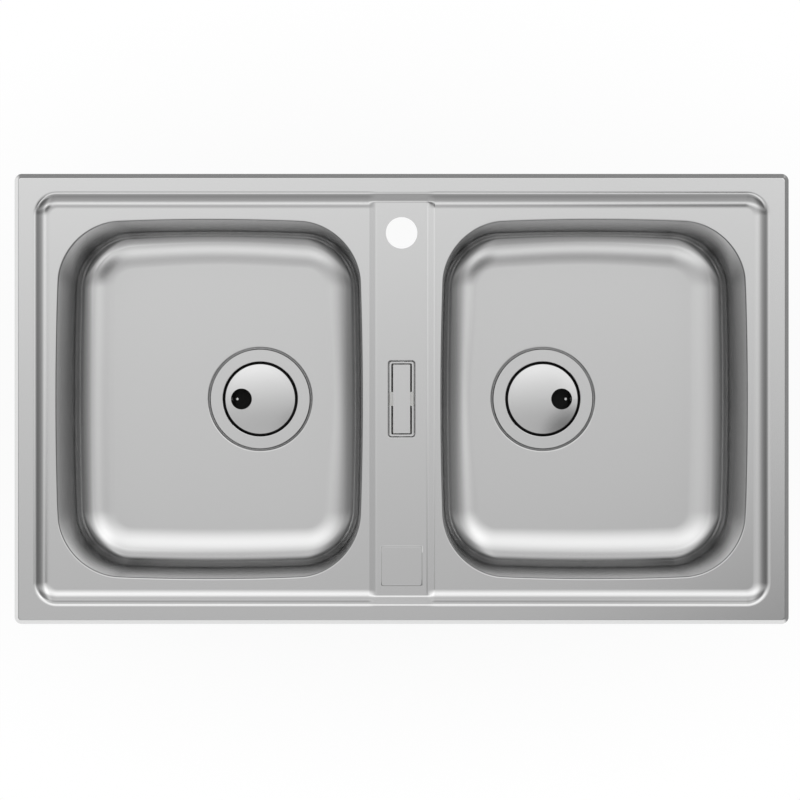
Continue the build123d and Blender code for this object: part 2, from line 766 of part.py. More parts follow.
def funnel(margin, radius):
    """A straight box under the slot, drawn in to a round end."""
    with BuildPart() as form:
        with BuildSketch(Plane.XY.offset(funnel_top)):
            add(slot_outline(margin))
        with BuildSketch(Plane.XY.offset(funnel_end)):
            add(round_outline(radius))
        loft()
        with BuildSketch(Plane.XY.offset(overflow_flange_top)):
            add(slot_outline(margin))
        extrude(amount=-overflow_box_depth)
    return form.part


with BuildPart() as overflow_gasket:
    with BuildSketch(Plane.XY.offset(under_recess)):
        add(slot_outline(overflow_gasket_margin))
        add(slot_outline(bridge_clearance), mode=Mode.SUBTRACT)
    extrude(amount=-overflow_gasket_thickness)
save(overflow_gasket, "overflow_gasket")

funnel_space = funnel(bridge_clearance, spigot_bore)

with BuildPart() as overflow_holder:
    with Locations((0, 0, overflow_boss_top)):
        Box(
            overflow_length + 2 * bridge_clearance, boss_rib, boss_length,
            align=(Align.CENTER, Align.CENTER, Align.MAX),
        )
    add(funnel_space, mode=Mode.INTERSECT)
    with Locations((0, 0, overflow_boss_top)):
        Cylinder(
            overflow_boss_radius, boss_length,
            align=(Align.CENTER, Align.CENTER, Align.MAX),
        )

with BuildPart() as overflow_body:
    add(funnel(bridge_clearance + overflow_wall, spigot_radius))
    with BuildSketch(Plane.XY.offset(overflow_flange_top)):
        add(slot_outline(overflow_flange_margin))
    extrude(amount=-overflow_flange_thickness)
    with BuildSketch(Plane.XZ):
        with BuildLine():
            Polyline(
                (0, funnel_end + overflow_wall),
                (spigot_radius, funnel_end + overflow_wall),
                (spigot_radius, spigot_end + 2 * barb_length),
                (spigot_radius + barb_height, spigot_end + 2 * barb_length),
                (spigot_radius, spigot_end + barb_length),
                (spigot_radius + barb_height, spigot_end + barb_length),
                (spigot_radius, spigot_end),
                (0, spigot_end),
                close=True,
            )
        make_face()
    revolve(axis=Axis.Z)
    add(funnel_space, mode=Mode.SUBTRACT)
    with Locations((0, 0, spigot_end)):
        Cylinder(
            spigot_bore, funnel_end + overflow_wall - spigot_end,
            align=(Align.CENTER, Align.CENTER, Align.MIN), mode=Mode.SUBTRACT,
        )
    add(overflow_holder.part)
    with Locations((0, 0, overflow_boss_top)):
        Cylinder(
            overflow_screw_radius + screw_fit, boss_length,
            align=(Align.CENTER, Align.CENTER, Align.MAX), mode=Mode.SUBTRACT,
        )
save(overflow_body, "overflow_body")

with BuildPart() as overflow_bridge:
    with BuildSketch(Plane.XY.offset(recess_floor)):
        Rectangle(recess_length - bridge_clearance, bridge_width)
    extrude(amount=bridge_sheet)
    with BuildSketch(Plane.XY.offset(recess_floor)):
        Rectangle(overflow_length - 2 * bridge_clearance, bridge_width)
    extrude(amount=-bridge_block_depth)
    with Locations((0, 0, bridge_top)):
        CounterSinkHole(
            overflow_screw_radius + screw_fit, overflow_screw_head_radius + screw_fit,
            counter_sink_angle=countersink_angle,
        )
save(overflow_bridge, "overflow_bridge")

with BuildPart() as overflow_screw:
    with BuildSketch(Plane.XZ):
        head_drop = overflow_screw_head_radius - overflow_screw_radius
        head_drop /= math.tan(math.radians(countersink_angle / 2))
        with BuildLine():
            Polyline(
                (0, bridge_top),
                (overflow_screw_head_radius, bridge_top),
                (overflow_screw_radius, bridge_top - head_drop),
                (overflow_screw_radius, bridge_top - overflow_screw_length),
                (0, bridge_top - overflow_screw_length),
                close=True,
            )
        make_face()
    revolve(axis=Axis.Z)
    with Locations((0, 0, bridge_top)):
        Box(2 * overflow_screw_head_radius, screw_slot, head_drop, mode=Mode.SUBTRACT)
save(overflow_screw, "overflow_screw")

with BuildPart() as overflow_cover:
    with BuildSketch(Plane.XY.offset(bridge_top)):
        RectangleRounded(overflow_cover_length, overflow_cover_width, overflow_corner_radius / 2)
    extrude(amount=overflow_cover_sheet)
    leg_out = (overflow_cover_width - sheet) / 2
    hook_out = overflow_width / 2 + bridge_clearance / 2
    with BuildSketch(Plane.YZ):
        with BuildLine():
            Polyline(
                (leg_out - sheet, bridge_top),
                (leg_out, bridge_top),
                (leg_out, under_recess - rest_gap),
                (hook_out, under_recess - 2 * sheet),
                (leg_out, bridge_top - overflow_leg_depth),
                (leg_out - sheet, bridge_top - overflow_leg_depth),
                close=True,
            )
        make_face()
        mirror(about=Plane.YZ)
    extrude(amount=overflow_leg_width / 2, both=True)
save(overflow_cover, "overflow_cover")

# --- Clamps under the rim -------------------------------------------------------------
claw_top = bracket_bottom - clamp_travel - rest_gap
claw_base = claw_top - claw_tooth_height - claw_sheet
screw_tip = bracket_bottom + bracket_sheet + bush_height + screw_past_bush
clamp_x = half_length - clamp_from_side
long_side_y = half_width - clamp_from_edge
short_side_x = half_length - clamp_from_edge
clamp_places = [(x, -long_side_y, 0, 1) for x in (-clamp_x, 0, clamp_x)]
clamp_places += [(x, long_side_y, 0, -1) for x in (-clamp_x, 0, clamp_x)]
clamp_places += [(-short_side_x, 0, 1, 0), (short_side_x, 0, -1, 0)]
up = Vector(0, 0, 1)

with BuildPart() as clip_brackets:
    bracket_leg = bracket_leg_from_edge - clamp_from_edge + bracket_sheet / 2
    flange_z = rim_top - sheet
    for x, y, in_x, in_y in clamp_places:
        inward = Vector(in_x, in_y, 0)
        with BuildSketch(Plane(origin=(x, y, 0), x_dir=inward, z_dir=inward.cross(up))):
            with BuildLine() as bracket_line:
                Polyline(
                    (bracket_from_edge - clamp_from_edge, flange_z - bracket_sheet / 2),
                    (bracket_leg, flange_z - bracket_sheet / 2),
                    (bracket_leg, bracket_bottom + bracket_sheet / 2),
                    (bracket_reach, bracket_bottom + bracket_sheet / 2),
                )
                fillet(bracket_line.vertices().sort_by(Axis.X)[1:3], radius=bracket_sheet)
            trace(line_width=bracket_sheet)
        extrude(amount=bracket_width / 2, both=True)
        with Locations((x, y, bracket_bottom)):
            Cylinder(
                bush_radius, bracket_sheet + bush_height,
                align=(Align.CENTER, Align.CENTER, Align.MIN),
            )
            Cylinder(
                clamp_screw_radius + screw_fit, 4 * bush_height,
                align=(Align.CENTER, Align.CENTER, Align.CENTER), mode=Mode.SUBTRACT,
            )
save(clip_brackets, "clip_brackets")

for number, (x, y, in_x, in_y) in enumerate(clamp_places, start=1):
    inward = Vector(in_x, in_y, 0)
    along = up.cross(inward)

    with BuildPart() as clamp_screw:
        with Locations((x, y, claw_base)):
            Cylinder(
                clamp_screw_radius, screw_tip - claw_base,
                align=(Align.CENTER, Align.CENTER, Align.MIN),
            )
            Cylinder(
                clamp_screw_head_radius, clamp_screw_head_height,
                align=(Align.CENTER, Align.CENTER, Align.MAX),
            )
        with Locations((x, y, claw_base - clamp_screw_head_height)):
            Box(
                2 * clamp_screw_head_radius, screw_slot, clamp_screw_head_height,
                mode=Mode.SUBTRACT,
            )
    save(clamp_screw, f"clamp_screw_{number}")

    with BuildPart() as clamp_claw:
        with BuildSketch(Plane(origin=(x, y, 0), x_dir=along, z_dir=along.cross(up))):
            with BuildLine():
                Polyline(
                    (-claw_heel, claw_base),
                    (claw_reach, claw_base),
                    (claw_reach, claw_top),
                    (claw_reach - claw_sheet, claw_top),
                    (claw_reach - claw_sheet, claw_base + claw_sheet),
                    (claw_sheet - claw_heel, claw_base + claw_sheet),
                    (claw_sheet - claw_heel, claw_base + claw_sheet + claw_heel_height),
                    (-claw_heel, claw_base + claw_sheet + claw_heel_height),
                    close=True,
                )
            make_face()
        extrude(amount=claw_width / 2, both=True)
        tooth_pitch = claw_width / claw_teeth
        with BuildSketch(Plane(origin=(x, y, claw_top), x_dir=-inward, z_dir=along)):
            with GridLocations(tooth_pitch, 0, claw_teeth - 1, 1):
                Polygon(
                    (-tooth_pitch / 3, 0), (tooth_pitch / 3, 0), (0, -tooth_pitch / 2), align=None
                )
        extrude(amount=claw_reach, mode=Mode.SUBTRACT)
        with Locations((x, y, claw_base)):
            Cylinder(clamp_screw_radius + screw_fit, 4 * claw_sheet, mode=Mode.SUBTRACT)
    save(clamp_claw, f"clamp_claw_{number}")
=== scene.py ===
import json
import math

import bpy
import numpy as np
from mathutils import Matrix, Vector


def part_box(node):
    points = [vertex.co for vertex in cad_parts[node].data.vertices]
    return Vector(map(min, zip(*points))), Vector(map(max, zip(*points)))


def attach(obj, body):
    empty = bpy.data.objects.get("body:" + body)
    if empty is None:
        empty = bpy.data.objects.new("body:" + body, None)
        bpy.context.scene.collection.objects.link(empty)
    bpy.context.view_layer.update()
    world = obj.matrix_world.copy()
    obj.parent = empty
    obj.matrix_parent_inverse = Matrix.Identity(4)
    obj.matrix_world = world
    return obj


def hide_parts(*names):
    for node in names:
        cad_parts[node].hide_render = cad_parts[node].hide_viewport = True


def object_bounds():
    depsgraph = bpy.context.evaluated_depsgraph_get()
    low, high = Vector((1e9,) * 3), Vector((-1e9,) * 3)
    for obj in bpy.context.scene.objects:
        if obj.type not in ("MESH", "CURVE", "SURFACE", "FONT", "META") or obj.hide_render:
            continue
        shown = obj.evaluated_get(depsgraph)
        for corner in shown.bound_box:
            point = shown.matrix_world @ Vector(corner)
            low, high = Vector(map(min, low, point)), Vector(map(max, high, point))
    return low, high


# Looks of the double bowl kitchen sink: the pressed top, the two bowls and the sound pads
# are new surfaces worked out from formulas, the other pieces are the solids with their
# finishes.
# Everything is in metres, with the origin on the worktop at the middle of the sink.

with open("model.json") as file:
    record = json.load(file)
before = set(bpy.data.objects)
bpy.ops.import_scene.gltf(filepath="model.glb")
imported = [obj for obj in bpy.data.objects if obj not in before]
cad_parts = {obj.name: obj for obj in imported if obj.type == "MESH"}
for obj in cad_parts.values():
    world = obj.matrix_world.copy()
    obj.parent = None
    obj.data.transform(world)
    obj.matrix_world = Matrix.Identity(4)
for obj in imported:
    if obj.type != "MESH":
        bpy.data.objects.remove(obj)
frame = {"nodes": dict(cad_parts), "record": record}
cad_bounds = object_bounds()

MM = 0.001
NEAR = 1e-5                                     # step for slopes worked out by differences

# --- Pressed top --------------------------------------------------------------------
top_low, top_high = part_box("deck")
HALF_LENGTH = top_high.x
HALF_WIDTH = top_high.y
RIM_TOP = top_high.z
SHEET = 0.8 * MM
EDGE_HEIGHT = 0.6 * MM                          # lower edge of the rim above the worktop
EDGE_CORNER = 8.0 * MM
BEVEL = 5.0 * MM
STEP_FROM_EDGE = 19.5 * MM
STEP_WIDTH = 19.1 * MM
SIDE_STEP_SHIFT = 1.1 * MM                      # the step lies further in at the sides
STEP_END = STEP_FROM_EDGE + STEP_WIDTH
STEP_CORNER = 27.0 * MM
CREST_RADIUS = 9.5 * MM
STEP_TILT = 2 * math.atan2(RIM_TOP, STEP_WIDTH)
VALLEY_RADIUS = STEP_WIDTH / math.sin(STEP_TILT) - CREST_RADIUS
EDGE_SOFTNESS = 0.4 * MM

# --- Panel between the bowls ----------------------------------------------------------
PANEL_TOP = 2.0 * MM
PANEL_HALF_WIDTH = 28.4 * MM
PANEL_RAMP = 8.4 * MM
PANEL_END = 21.5 * MM                           # in from the sink's edge, where the end falls
PANEL_END_SLOPE = math.tan(math.radians(23.0))
# The panel's grid meets the decks here. The ramp's softened foot still stands 0.05 mm over
# them, so this seam is open: it reaches them at PANEL_HALF_WIDTH + 1.15 * PANEL_RAMP.
PANEL_SIDE = 37.0 * MM
CREASE_SOFTNESS = 0.3 * MM
END_SOFTNESS = 0.5 * MM                         # at the top and the foot of the panel's end
PAD_Y = 64.5 * MM - HALF_WIDTH
PAD_HALF_LENGTH = 22.3 * MM
PAD_HALF_WIDTH = 21.5 * MM
PAD_HEIGHT = 0.7 * MM
PAD_CORNER = 2.0 * MM
RECESS_HALF_LENGTH = 13.5 * MM
RECESS_HALF_WIDTH = 41.2 * MM
RECESS_CORNER = 2.2 * MM
RECESS_DEPTH = 1.8 * MM
SLOT_HALF_LENGTH = 11.5 * MM
SLOT_HALF_WIDTH = 39.5 * MM
SLOT_CORNER = 1.5 * MM
PRESS_SOFTNESS = 0.3 * MM
TAP_Y = HALF_WIDTH - 65.6 * MM
TAP_RADIUS = 17.5 * MM
WINDOW = 22.2 * MM                              # half size of the meshed field round a hole
WINDOW_LENGTH = 46.0 * MM                       # half length of the field round the overflow

# --- Bowls ------------------------------------------------------------------------------
MOUTH_HALF_LENGTH = 169.7 * MM
MOUTH_HALF_WIDTH = 199.2 * MM
SIDE_BOW = 5.0 * MM
END_BOW = 5.5 * MM
MOUTH_CORNER = 64.0 * MM
BOWL_X = -214.0 * MM                            # middle of the left bowl
BOWL_Y = -0.2 * MM
DRAIN_X = -166.0 * MM
DRAFT = math.radians(1.5)
ROLL_RADIUS = 2.0 * MM
WELD_DEPTH = 7.0 * MM
FLOOR_Z = -147.5 * MM
DISH_RADIUS = 16.0
DISH_RISE = 0.55 * MM                           # usual rise of the dished floor at its foot
WALL_FILLET = 22.0 * MM
MIDDLE_FILLET = 42.0 * MM
FOOT_FILLET = 78.0 * MM
INNER_FOOT_FILLET = 50.0 * MM
BACK_TIGHTER = 0.3                              # share by which the back's fillets are tighter
STEEP_TILT = math.radians(31.0)                 # where the middle fillet takes over
FOOT_TILT = math.radians(19.0)                  # where the foot fillet takes over
SEAT_RADIUS = 58.6 * MM
SEAT_Z = FLOOR_Z - 2.6 * MM
SEAT_SOFTNESS = 1.0 * MM
SEAT_FIELD = 66.0 * MM
DRAIN_HOLE = 45.25 * MM
PAD_SHEET = 2.5 * MM                            # the sound pads under the floors


# --- Shapes ------------------------------------------------------------------------------
def ladder(start, *legs):
    """Rising or falling values from start: each leg is (end, longest step)."""
    values = [np.array([start])]
    for end, step in legs:
        count = max(1, math.ceil(abs(end - start) / step - 1e-6))
        values.append(np.linspace(start, end, count + 1)[1:])
        start = end
    return np.concatenate(values)


def soft_min(a, b, softness):
    """The lesser of two heights, with the crease between them rounded by a parabola."""
    overlap = np.maximum(softness - np.abs(a - b), 0)
    return np.minimum(a, b) - overlap**2 / (4 * softness)


def soft_max(a, b, softness):
    """The greater of two heights, with the crease between them rounded by a parabola."""
    return -soft_min(-a, -b, softness)


def box_distance(x, y, half_x, half_y, corner):
    """Distance outwards from a rectangle with round corners, less than 0 inside it."""
    over_x = np.abs(x) - half_x + corner
    over_y = np.abs(y) - half_y + corner
    outside = np.hypot(np.maximum(over_x, 0), np.maximum(over_y, 0))
    return outside + np.minimum(np.maximum(over_x, over_y), 0) - corner


def mouth_distance(x, y):
    """Distance outwards from a bowl's mouth: four large circles that bow its sides out,
    drawn in by the corner radius, met at the corners and grown again by that radius."""
    corner_x = MOUTH_HALF_LENGTH - SIDE_BOW
    corner_y = MOUTH_HALF_WIDTH - END_BOW
    side_radius = (corner_y**2 + SIDE_BOW**2) / (2 * SIDE_BOW)
    end_radius = (corner_x**2 + END_BOW**2) / (2 * END_BOW)
    over_x = np.hypot(np.abs(x) + side_radius - MOUTH_HALF_LENGTH, y) - side_radius + MOUTH_CORNER
    over_y = np.hypot(x, np.abs(y) + end_radius - MOUTH_HALF_WIDTH) - end_radius + MOUTH_CORNER
    outside = np.hypot(np.maximum(over_x, 0), np.maximum(over_y, 0))
    return outside + np.minimum(np.maximum(over_x, over_y), 0) - MOUTH_CORNER


def along_ray(distance, angle, offset):
    """Where rays from the middle meet the outline grown by offset, by halving intervals."""
    near = np.zeros(np.broadcast(angle, offset).shape)
    far = np.full(near.shape, 2 * HALF_LENGTH)
    for _ in range(48):
        middle = (near + far) / 2
        inside = distance(middle * np.cos(angle), middle * np.sin(angle)) < offset
        near = np.where(inside, middle, near)
        far = np.where(inside, far, middle)
    return near * np.cos(angle), near * np.sin(angle)


def rim_height(depth_in):
    """Height of the rim this far in from the sink's edge: a sloping edge, a flat, then a
    crest arc and a valley arc down to the deck round the bowls."""
    slope = (RIM_TOP - EDGE_HEIGHT) / BEVEL
    edge = soft_min(EDGE_HEIGHT + slope * depth_in, RIM_TOP, EDGE_SOFTNESS)
    run = np.clip(depth_in - STEP_FROM_EDGE, 0, STEP_WIDTH)
    crest_run = np.minimum(run, CREST_RADIUS * math.sin(STEP_TILT))
    crest = RIM_TOP - CREST_RADIUS + np.sqrt(CREST_RADIUS**2 - crest_run**2)
    valley_run = np.minimum(STEP_WIDTH - run, VALLEY_RADIUS * math.sin(STEP_TILT))
    valley = VALLEY_RADIUS - np.sqrt(VALLEY_RADIUS**2 - valley_run**2)
    step = np.where(run < CREST_RADIUS * math.sin(STEP_TILT), crest, valley)
    return np.where(depth_in < STEP_FROM_EDGE, edge, step)


def panel_height(x, y):
    """Height of the sheet round the panel: the rim's fall, raised to the panel with its
    straight ends by a share that ramps down at its sides, the raised pad and the recess."""
    depth_in = HALF_WIDTH - np.abs(y)
    rim = rim_height(depth_in)
    end = RIM_TOP - PANEL_END_SLOPE * (depth_in - PANEL_END)
    end = soft_max(end, PANEL_TOP, END_SOFTNESS)
    end = soft_min(end, RIM_TOP, END_SOFTNESS)
    edge_share = CREASE_SOFTNESS / PANEL_TOP
    share = 1 + (PANEL_HALF_WIDTH - np.abs(x)) / PANEL_RAMP
    share = soft_min(soft_max(share, 0, edge_share), 1, edge_share)
    height = rim + share * np.where(depth_in < STEP_FROM_EDGE, 0, np.maximum(end - rim, 0))
    pad = -box_distance(x, y - PAD_Y, PAD_HALF_LENGTH + PAD_HEIGHT, PAD_HALF_WIDTH + PAD_HEIGHT,
                        PAD_CORNER + PAD_HEIGHT)
    pad = soft_min(soft_max(pad, 0, PRESS_SOFTNESS), PAD_HEIGHT, PRESS_SOFTNESS)
    recess = box_distance(x, y, RECESS_HALF_LENGTH, RECESS_HALF_WIDTH, RECESS_CORNER)
    recess = soft_min(soft_max(recess, 0, PRESS_SOFTNESS), RECESS_DEPTH, PRESS_SOFTNESS)
    return height + pad + recess - RECESS_DEPTH


def unit(vectors):
    """Vectors drawn to length 1."""
    return vectors / np.linalg.norm(vectors, axis=-1, keepdims=True)


def surface_of(height, x, y):
    """Points and normals of a height over the plane, with its slopes by differences."""
    slope_x = (height(x + NEAR, y) - height(x - NEAR, y)) / (2 * NEAR)
    slope_y = (height(x, y + NEAR) - height(x, y - NEAR)) / (2 * NEAR)
    points = np.stack([x, y, height(x, y)], -1)
    return points, unit(np.stack([-slope_x, -slope_y, np.ones_like(x)], -1))


class Skin:
    """A skin of 0.8 mm sheet put together from grids of points. Every grid gives its
    visible face and, one sheet lower along the normals, its hidden face."""

    def __init__(self):
        self.points = []
        self.normals = []
        self.quads = []
        self.count = 0

    def face(self, points, normals, closed=False, keep=None):
        """One grid of quads, each turned so that it looks along its corners' normals."""
        rows, columns = points.shape[:2]
        index = np.arange(rows * columns).reshape(rows, columns)
        if closed:
            index = np.concatenate([index, index[:, :1]], 1)
        quads = np.stack([index[:-1, :-1], index[1:, :-1], index[1:, 1:], index[:-1, 1:]], -1)
        quads = quads[keep] if keep is not None else quads.reshape(-1, 4)
        place = points.reshape(-1, 3)
        facing = normals.reshape(-1, 3)
        first_across = place[quads[:, 2]] - place[quads[:, 0]]
        second_across = place[quads[:, 3]] - place[quads[:, 1]]
        turn = np.cross(first_across, second_across)
        wrong = (turn * facing[quads].sum(1)).sum(1) < 0
        quads[wrong] = quads[wrong][:, ::-1]
        self.points.append(place)
        self.normals.append(facing)
        self.quads.append(quads + self.count)
        self.count += len(place)

    def sheet(self, points, normals, closed=False, keep=None, both_sides=False):
        """Visible and hidden face of a grid, and of its mirror image across the middle."""
        flips = (1, -1) if both_sides else (1,)
        for flip in flips:
            mirror = np.array([flip, 1, 1])
            self.face(points * mirror, normals * mirror, closed, keep)
            self.face((points - SHEET * normals) * mirror, -normals * mirror, closed, keep)

    def cut_edge(self, points, normals, outward, closed=True, both_sides=False):
        """The sheet's cut edge along a line of its visible face."""
        band = np.stack([points, points - SHEET * normals])
        facing = np.stack([outward, outward])
        flips = (1, -1) if both_sides else (1,)
        for flip in flips:
            mirror = np.array([flip, 1, 1])
            self.face(band * mirror, facing * mirror, closed)

    def build(self, name, mirrored=False):
        """Joins what meets, and keeps each face corner's own normal."""
        mirror = np.array([-1, 1, 1]) if mirrored else np.ones(3)
        points = np.concatenate(self.points) * mirror
        normals = np.concatenate(self.normals) * mirror
        quads = np.concatenate(self.quads)
        if mirrored:
            quads = quads[:, ::-1]
        _, first, joined = np.unique(
            np.round(points * 1e6).astype(np.int64), axis=0, return_index=True, return_inverse=True
        )
        mesh = bpy.data.meshes.new(name)
        mesh.from_pydata(points[first], [], joined.reshape(-1)[quads])
        mesh.polygons.foreach_set("use_smooth", np.ones(len(quads), bool))
        mesh.normals_split_custom_set(normals[quads].reshape(-1, 3))
        piece = bpy.data.objects.new(name, mesh)
        bpy.context.scene.collection.objects.link(piece)
        return piece


# --- Pressed top ---------------------------------------------------------------------------
def rim_corner(depth_in):
    """Middle and radius of the corner arc this far in: tight at the edge, wide at the step,
    and moved in a little from the sink's sides."""
    share = np.clip((depth_in - BEVEL) / (STEP_FROM_EDGE - BEVEL), 0, 1)
    inner = STEP_CORNER + STEP_FROM_EDGE
    middle_in = EDGE_CORNER + share * (inner - EDGE_CORNER)
    middle_x = HALF_LENGTH - middle_in - share * SIDE_STEP_SHIFT
    return middle_x, HALF_WIDTH - middle_in, middle_in - depth_in


def rim_samples():
    """Distances in from the edge where the rim's grid has its lines."""
    return ladder(
        0, (BEVEL - 1.2 * MM, 1.3 * MM), (BEVEL + 1.2 * MM, 0.3 * MM),
        (STEP_FROM_EDGE, 4.8 * MM), (STEP_FROM_EDGE + 4 * MM, 0.4 * MM), (STEP_END, 0.75 * MM),
    )


def left_rim():
    """The rim round the left bowl: its profile carried from the panel's front, round both
    corners and to the panel's back. The profile is a height over the distance in."""
    depth_in = rim_samples()[:, None]
    middle_x, middle_y, radius = rim_corner(depth_in)
    end_run = ladder(0, (0.19, 0.016), (0.82, 0.05), (1, 0.015))[None, :]
    side_run = ladder(-1, (-0.7, 0.025), (0.7, 0.09), (1, 0.025))[None, 1:-1]
    turn = np.radians(ladder(0, (90, 6)))[None, :]
    end_x = -PANEL_SIDE - (middle_x - PANEL_SIDE) * end_run[:, :-1]
    end_y = HALF_WIDTH - depth_in + 0 * end_x
    corner_x = -middle_x - radius * np.sin(turn)
    corner_y = middle_y + radius * np.cos(turn)
    side_x = -middle_x - radius + 0 * side_run
    x = np.concatenate([end_x, corner_x, side_x, corner_x[:, ::-1], end_x[:, ::-1]], 1)
    y = np.concatenate(
        [-end_y, -corner_y, middle_y * side_run, corner_y[:, ::-1], end_y[:, ::-1]], 1
    )
    still = np.zeros_like(end_run[0, :-1])
    out_x = np.concatenate(
        [still, -np.sin(turn[0]), side_run[0] * 0 - 1, -np.sin(turn[0, ::-1]), still]
    )
    out_y = np.concatenate(
        [still - 1, -np.cos(turn[0]), side_run[0] * 0, np.cos(turn[0, ::-1]), still + 1]
    )
    height = rim_height(depth_in)
    slope = (rim_height(depth_in + NEAR) - rim_height(depth_in - NEAR)) / (2 * NEAR)
    slope = np.where(depth_in > STEP_END - NEAR, 0, slope)
    points = np.stack([x, y, height + 0 * x], -1)
    normals = unit(np.stack([slope * out_x, slope * out_y, np.ones_like(x)], -1))
    return points, normals, np.stack([out_x, out_y, 0 * out_x], -1)


def panel_samples():
    """Lines of the panel's grid along X and Y."""
    half_x = ladder(
        0, (11 * MM, 2.75 * MM), (19.4 * MM, 0.84 * MM), (WINDOW, 0.3 * MM), (28 * MM, 1.5 * MM),
        (36.5 * MM, 0.5 * MM), (PANEL_SIDE, 0.5 * MM),
    )
    edge = rim_samples()
    pad_near = PAD_Y - PAD_HALF_WIDTH - PAD_HEIGHT
    pad_far = PAD_Y + PAD_HALF_WIDTH + PAD_HEIGHT
    middle = ladder(
        STEP_END - HALF_WIDTH,
        (pad_near - 0.5 * MM, 2 * MM), (pad_near + 1.7 * MM, 0.3 * MM),
        (pad_far - 1.7 * MM, 6 * MM),
        (pad_far + 0.5 * MM, 0.3 * MM), (-WINDOW_LENGTH, 7 * MM), (-39 * MM, 0.8 * MM),
        (39 * MM, 3.6 * MM), (WINDOW_LENGTH, 0.8 * MM), (TAP_Y - WINDOW, 7 * MM),
        (TAP_Y + WINDOW, 2.5 * MM), (HALF_WIDTH - STEP_END, 2 * MM),
    )
    y = np.concatenate([edge[:-1] - HALF_WIDTH, middle, HALF_WIDTH - edge[-2::-1]])
    return np.concatenate([-half_x[:0:-1], half_x]), y


def field_border(x, y, middle_y, half_y):
    """Grid points round a field of the panel, once round, as angles from its middle too."""
    inside_x = x[np.abs(x) < WINDOW + NEAR]
    inside_y = y[np.abs(y - middle_y) < half_y + NEAR]
    right = np.stack([0 * inside_y + inside_x[-1], inside_y], -1)
    back = np.stack([inside_x[::-1], 0 * inside_x + inside_y[-1]], -1)
    left = np.stack([0 * inside_y + inside_x[0], inside_y[::-1]], -1)
    front = np.stack([inside_x, 0 * inside_x + inside_y[0]], -1)
    border = np.concatenate([right[:-1], back[:-1], left[:-1], front[:-1]])
    return border, np.arctan2(border[:, 1] - middle_y, border[:, 0])


def hole_field(skin, x, y, middle_y, half_y, outlines):
    """Fills a field of the panel with loops from its border in to a hole: each outline is a
    distance function and how far it is grown, met by rays from the field's middle."""
    border, angle = field_border(x, y, middle_y, half_y)
    loops = [border]
    for distance, grow in outlines:
        loop_x, loop_y = along_ray(distance, angle, grow)
        loops.append(np.stack([loop_x, loop_y + middle_y], -1))
    loops = np.stack(loops)
    points, normals = surface_of(panel_height, loops[..., 0], loops[..., 1])
    skin.sheet(points, normals, closed=True)
    inward = np.stack([-np.cos(angle), -np.sin(angle), 0 * angle], -1)
    return points[-1], normals[-1], inward


def slot_distance(x, y):
    """Distance outwards from the overflow slot."""
    return box_distance(x, y, SLOT_HALF_LENGTH, SLOT_HALF_WIDTH, SLOT_CORNER)


def recess_distance(x, y):
    """Distance outwards from the bottom of the overflow recess."""
    return box_distance(x, y, RECESS_HALF_LENGTH, RECESS_HALF_WIDTH, RECESS_CORNER)


def mouth_rays(rim_foot, panel_y):
    """Angles from the left bowl's middle to the grid points round its deck."""
    field = panel_y[np.abs(panel_y) < HALF_WIDTH - STEP_END - NEAR]
    side = np.stack([0 * field - PANEL_SIDE, field[::-1]], -1)
    border = np.concatenate([rim_foot[:, :2], side])
    return border, np.arctan2(border[:, 1] - BOWL_Y, border[:, 0] - BOWL_X)


# --- Bowls -----------------------------------------------------------------------------------
WALL_TILT = math.pi / 2 - DRAFT
ROLL_OUT = ROLL_RADIUS * math.tan(WALL_TILT / 2)
ROLL_DROP = ROLL_RADIUS * (1 - math.cos(WALL_TILT))


def fillets(angle):
    """Radius and the steeper and flatter tilt of the three fillets between the wall and
    the floor. The foot's is less towards the panel, and the others are less at the back."""
    inner = np.maximum(np.cos(angle), 0) ** 4
    tight = 1 - BACK_TIGHTER * np.maximum(np.sin(angle), 0) ** 4
    return (
        (WALL_FILLET * tight, WALL_TILT, STEEP_TILT),
        (MIDDLE_FILLET * tight, STEEP_TILT, FOOT_TILT),
        (FOOT_FILLET + (INNER_FOOT_FILLET - FOOT_FILLET) * inner, FOOT_TILT, 0),
    )


def wall_length(angle):
    """Length of the straight wall, which the fillets leave of the bowl's depth."""
    drop = ROLL_DROP
    for radius, steep, flat in fillets(angle):
        drop = drop + radius * (math.cos(flat) - math.cos(steep))
    return (-FLOOR_Z - DISH_RISE - drop) / math.sin(WALL_TILT)


def weld_leg(angle):
    """How far down the bowl's profile the bowl is welded to the pressed top."""
    return 1 + (WELD_DEPTH - ROLL_DROP) / (wall_length(angle) * math.sin(WALL_TILT))


def wall_profile(angle, leg):
    """The bowl's profile from the deck down, in legs of length 1: the rolled mouth, the
    straight wall and the three fillets, as the distance grown from the mouth and the
    height. An arc of radius r from tilt a to b runs r (sin a - sin b) inwards and falls
    r (cos b - cos a)."""
    roll = WALL_TILT * np.clip(leg, 0, 1)
    wall = wall_length(angle) * np.clip(leg - 1, 0, 1)
    grown = ROLL_OUT - ROLL_RADIUS * np.sin(roll) - wall * math.cos(WALL_TILT)
    height = -ROLL_RADIUS * (1 - np.cos(roll)) - wall * math.sin(WALL_TILT)
    for start, (radius, steep, flat) in enumerate(fillets(angle), 2):
        tilt = steep - (steep - flat) * np.clip(leg - start, 0, 1)
        grown = grown - radius * (math.sin(steep) - np.sin(tilt))
        height = height - radius * (np.cos(tilt) - math.cos(steep))
    return grown, height


def floor_height(x, y):
    """Height of the floor: part of a large sphere that is lowest at the drain, and the seat
    pressed into it with its sloping side."""
    radius = np.hypot(x - DRAIN_X, y)
    dish = FLOOR_Z + radius**2 / (2 * DISH_RADIUS)
    side = SEAT_Z + radius - SEAT_RADIUS
    return soft_max(soft_min(dish, side, SEAT_SOFTNESS), SEAT_Z + 0 * dish, SEAT_SOFTNESS)


